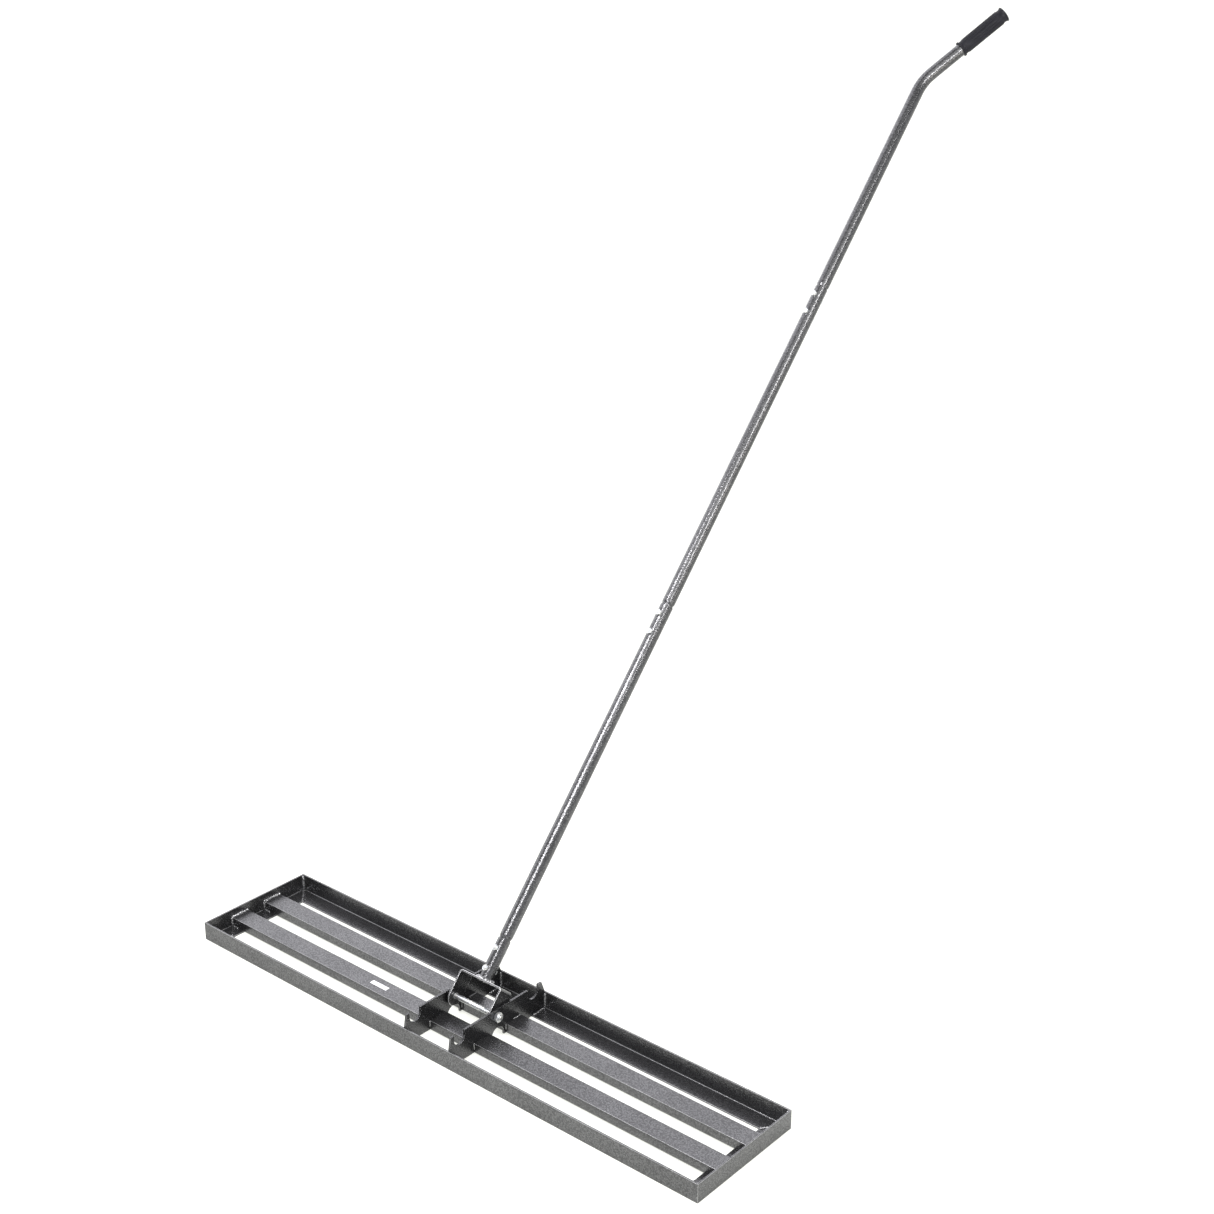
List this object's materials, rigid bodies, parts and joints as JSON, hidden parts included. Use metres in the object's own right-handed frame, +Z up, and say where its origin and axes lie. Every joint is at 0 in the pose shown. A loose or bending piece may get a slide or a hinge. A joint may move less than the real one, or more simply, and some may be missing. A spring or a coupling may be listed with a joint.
{
  "type": "lawn levelling rake",
  "caption": "Drag rake for levelling soil: low open angle-steel frame with slats and hook plates, and a long sectional handle, bent sideways at its grip, tilting on a clevis.",
  "frame": {"origin": "middle of the front bar's underside, on the ground", "axes": "+X along the long bars, +Y from the front bar to the rear bar and the side the handle leans to, +Z up"},
  "size_m": [1.219, 1.6129, 1.6923],
  "materials": {
    "hammertone_paint": "dark grey hammertone powder coat, satin",
    "dark_hammertone_paint": "dark grey hammertone powder coat, satin",
    "zinc_plate": "bright zinc plate",
    "black_rubber": "matt, ribbed lengthwise",
    "white_label": "blank white label"
  },
  "bodies": {
    "levelling_frame": {"front_bar": "hammertone_paint", "rear_bar": "hammertone_paint", "left_end_bar": "hammertone_paint", "right_end_bar": "hammertone_paint", "front_slat": "hammertone_paint", "rear_slat": "hammertone_paint", "left_hook_plate": "dark_hammertone_paint", "right_hook_plate": "dark_hammertone_paint", "slat_label": "white_label", "pivot_bolt": "zinc_plate", "pivot_nut": "zinc_plate"},
    "handle": {"socket_tube": "hammertone_paint", "lower_tube": "hammertone_paint", "middle_tube": "hammertone_paint", "upper_tube": "hammertone_paint", "clevis": "dark_hammertone_paint", "joint_bolt_low_upper": "zinc_plate", "joint_nut_low_upper": "zinc_plate", "joint_bolt_low_lower": "zinc_plate", "joint_nut_low_lower": "zinc_plate", "joint_bolt_mid_upper": "zinc_plate", "joint_nut_mid_upper": "zinc_plate", "joint_bolt_mid_lower": "zinc_plate", "joint_nut_mid_lower": "zinc_plate", "joint_bolt_top_upper": "zinc_plate", "joint_nut_top_upper": "zinc_plate", "joint_bolt_top_lower": "zinc_plate", "joint_nut_top_lower": "zinc_plate", "grip": "black_rubber"}
  },
  "joints": [
    {"name": "handle_tilt", "type": "hinge", "parent": "levelling_frame", "child": "handle", "pos_m": [0, 0.104, 0.048], "axis": [-1, 0, 0], "range_deg": [-129, 45]}
  ]
}
